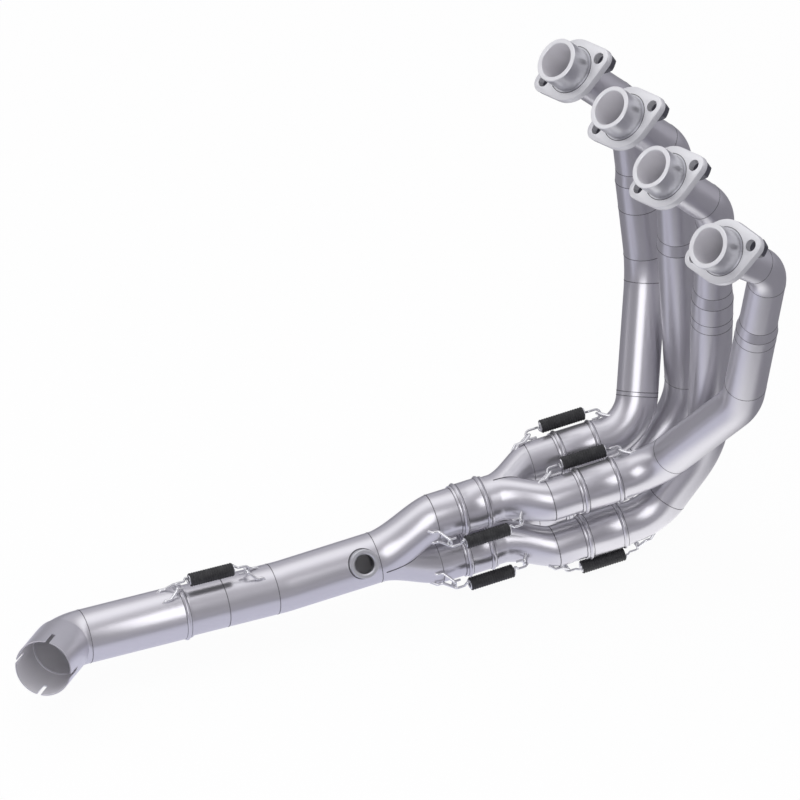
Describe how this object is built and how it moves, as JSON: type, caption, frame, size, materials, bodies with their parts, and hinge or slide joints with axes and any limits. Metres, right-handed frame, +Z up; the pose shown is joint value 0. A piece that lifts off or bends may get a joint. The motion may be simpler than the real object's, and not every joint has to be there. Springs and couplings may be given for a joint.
{
  "type": "motorcycle decat pipe",
  "caption": "Exhaust header with slip-jointed collectors, spring-held joints and a straight link pipe where the catalyst box would sit.",
  "frame": {"origin": "centre of the outlet socket's mouth", "axes": "+X forward along the link pipe, +Y to the left of the machine, +Z up"},
  "size_m": [0.7023, 0.3551, 0.4861],
  "materials": {
    "link_steel": "polished",
    "collector_steel": "polished",
    "header_steel": "polished",
    "machined_steel": "machined",
    "flange_steel": "satin",
    "nut_steel": "dark plated",
    "spring_steel": "drawn wire",
    "loop_wire": "drawn wire",
    "spring_rubber": "matt ribbed"
  },
  "bodies": {
    "root": {"collector_tail": "collector_steel", "flange_nuts": "nut_steel", "header_cone_1": "header_steel", "header_cone_2": "header_steel", "header_cone_3": "header_steel", "header_cone_4": "header_steel", "header_lower_1": "header_steel", "header_lower_2": "header_steel", "header_lower_3": "header_steel", "header_lower_4": "header_steel", "header_sleeve_1": "collector_steel", "header_sleeve_2": "collector_steel", "header_sleeve_3": "collector_steel", "header_sleeve_4": "collector_steel", "header_upper_1": "header_steel", "header_upper_2": "header_steel", "header_upper_3": "header_steel", "header_upper_4": "header_steel", "link_tube": "link_steel", "outlet_elbow": "link_steel", "outlet_socket": "link_steel", "port_flange_1": "flange_steel", "port_flange_2": "flange_steel", "port_flange_3": "flange_steel", "port_flange_4": "flange_steel", "port_stub_1": "machined_steel", "port_stub_2": "machined_steel", "port_stub_3": "machined_steel", "port_stub_4": "machined_steel", "primary_collector_lower": "collector_steel", "primary_collector_upper": "collector_steel", "secondary_collector": "collector_steel", "secondary_sleeve_lower": "collector_steel", "secondary_sleeve_upper": "collector_steel", "sensor_boss": "machined_steel", "spring_cover_header_1": "spring_rubber", "spring_cover_header_2": "spring_rubber", "spring_cover_header_3": "spring_rubber", "spring_cover_header_4": "spring_rubber", "spring_cover_link": "spring_rubber", "spring_cover_secondary_lower": "spring_rubber", "spring_cover_secondary_upper": "spring_rubber", "spring_header_1": "spring_steel", "spring_header_2": "spring_steel", "spring_header_3": "spring_steel", "spring_header_4": "spring_steel", "spring_link": "spring_steel", "spring_loops_header_1": "loop_wire", "spring_loops_header_2": "loop_wire", "spring_loops_header_3": "loop_wire", "spring_loops_header_4": "loop_wire", "spring_loops_link": "loop_wire", "spring_loops_secondary_lower": "loop_wire", "spring_loops_secondary_upper": "loop_wire", "spring_secondary_lower": "spring_steel", "spring_secondary_upper": "spring_steel"}
  },
  "joints": []
}
